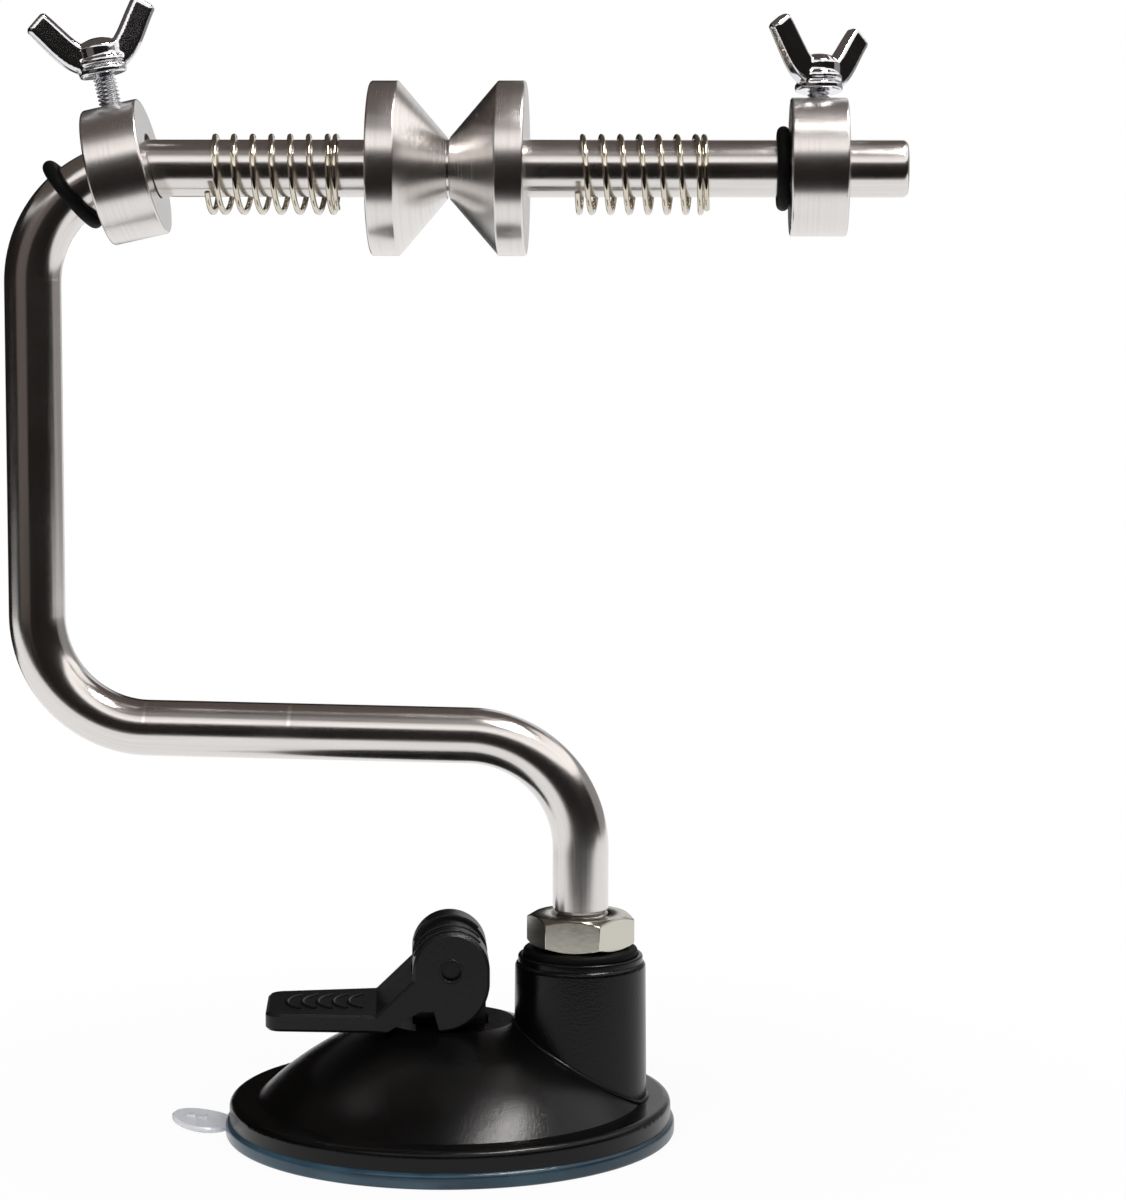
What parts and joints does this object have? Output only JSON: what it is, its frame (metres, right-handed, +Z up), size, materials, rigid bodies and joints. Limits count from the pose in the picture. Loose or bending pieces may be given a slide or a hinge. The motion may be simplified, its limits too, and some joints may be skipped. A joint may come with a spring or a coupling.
{
  "type": "fishing line winder",
  "caption": "Suction-based line winder: a bent rod on a lever-locked base, with two spring-loaded cones on a level spindle that hold a line spool between screwed collars.",
  "frame": {"origin": "centre of the suction pad's flat underside, on the table", "axes": "+Z up, +X along the spindle towards its free end, +Y across them, towards the side that the wing screws lean to"},
  "size_m": [0.1592, 0.0808, 0.203],
  "materials": {
    "black_plastic": "satin black, moulded",
    "clear_pad": "soft, clear, faintly blue",
    "brass_insert": "turned",
    "spring_steel": "drawn wire, bright",
    "pin_steel": "cut ends",
    "rod_aluminium": "polished, fine draw lines",
    "turned_aluminium": "fine turned",
    "nut_nickel": "nickel plated, satin",
    "screw_chrome": "bright nickel plated",
    "black_rubber": "matte"
  },
  "bodies": {
    "base": {"base_shell": "black_plastic", "suction_pad": "clear_pad", "threaded_insert": "brass_insert", "seat_washer": "black_plastic", "release_spring": "spring_steel"},
    "stem": {"stem": "black_plastic"},
    "lever": {"cam_lever": "black_plastic", "lever_pin": "pin_steel"},
    "arm": {"arm": "rod_aluminium"},
    "lock_nut": {"lock_nut": "nut_nickel"},
    "inner_spring": {"inner_spring": "spring_steel"},
    "inner_cone": {"inner_cone": "turned_aluminium"},
    "outer_spring": {"outer_spring": "spring_steel"},
    "outer_cone": {"outer_cone": "turned_aluminium"},
    "outer_oring": {"outer_oring": "black_rubber"},
    "outer_collar": {"outer_collar": "turned_aluminium"},
    "outer_stud": {"outer_screw_stud": "screw_chrome"},
    "outer_wing": {"outer_wing_head": "screw_chrome"},
    "inner_oring": {"inner_oring": "black_rubber"},
    "inner_collar": {"inner_collar": "turned_aluminium"},
    "inner_stud": {"inner_screw_stud": "screw_chrome"},
    "inner_wing": {"inner_wing_head": "screw_chrome"}
  },
  "joints": [
    {"name": "lever_lift", "type": "hinge", "parent": "stem", "child": "lever", "pos_m": [0, 0, 0.0313], "axis": [-0.0872, 0.9962, 0], "range_deg": [0, 90]},
    {"name": "stem_slide", "type": "slide", "parent": "base", "child": "stem", "axis": [0, 0, 1], "range_m": [-0.00415, 0], "deforming": ["suction_pad", "release_spring"]},
    {"name": "arm_swing", "type": "hinge", "parent": "base", "child": "arm", "pos_m": [0.0234, 0, 0.0313], "axis": [0, 0, 1], "range_deg": [-180, 180]},
    {"name": "nut_turn", "type": "hinge", "parent": "arm", "child": "lock_nut", "pos_m": [0.0234, 0, 0.0368], "axis": [0, 0, 1], "range_deg": [0, 130]},
    {"name": "inner_stack_slide", "type": "slide", "parent": "arm", "child": "inner_spring", "axis": [1, 0, 0], "range_m": [-0.0056, 0]},
    {"name": "inner_cone_spin", "type": "hinge", "parent": "inner_spring", "child": "inner_cone", "pos_m": [-0.01, 0, 0.1721], "axis": [1, 0, 0], "continuous": true},
    {"name": "outer_stack_slide", "type": "slide", "parent": "arm", "child": "outer_spring", "axis": [1, 0, 0], "range_m": [0, 0.085]},
    {"name": "outer_cone_spin", "type": "hinge", "parent": "outer_spring", "child": "outer_cone", "pos_m": [0.01, 0, 0.1721], "axis": [1, 0, 0], "continuous": true},
    {"name": "outer_oring_slide", "type": "slide", "parent": "outer_spring", "child": "outer_oring", "axis": [1, 0, 0], "range_m": [-0.0108, 0.009]},
    {"name": "outer_collar_turn", "type": "hinge", "parent": "outer_oring", "child": "outer_collar", "pos_m": [0.0647, 0, 0.1721], "axis": [1, 0, 0], "range_deg": [-180, 180]},
    {"name": "outer_stud_slide", "type": "slide", "parent": "outer_collar", "child": "outer_stud", "axis": [0, 0.1564, 0.9877], "range_m": [0, 0.0042]},
    {"name": "outer_wing_spin", "type": "hinge", "parent": "outer_stud", "child": "outer_wing", "pos_m": [0.0647, 0.00213, 0.18555], "axis": [0, 0.1564, 0.9877], "range_deg": [0, 2160]},
    {"name": "inner_oring_slip", "type": "hinge", "parent": "arm", "child": "inner_oring", "pos_m": [-0.0537, 0, 0.1519], "axis": [0, 1, 0], "range_deg": [-49, 0]},
    {"name": "inner_collar_slip", "type": "hinge", "parent": "arm", "child": "inner_collar", "pos_m": [-0.0537, 0, 0.1519], "axis": [0, 1, 0], "range_deg": [0, 9.8]},
    {"name": "inner_stud_slide", "type": "slide", "parent": "inner_collar", "child": "inner_stud", "axis": [-0.2198, 0.0262, 0.9752], "range_m": [-0.00329, 0.0014]},
    {"name": "inner_wing_spin", "type": "hinge", "parent": "inner_stud", "child": "inner_wing", "pos_m": [-0.06088, 0.00045, 0.18831], "axis": [-0.2198, 0.0262, 0.9752], "range_deg": [-1692, 720]}
  ],
  "couplings": [
    {"joint": "stem_slide", "follows": "lever_lift", "m_per_rad": -0.002642},
    {"joint": "inner_stud_slide", "follows": "inner_wing_spin", "m_per_rad": 0.00011141},
    {"joint": "outer_stud_slide", "follows": "outer_wing_spin", "m_per_rad": 0.00011141}
  ]
}
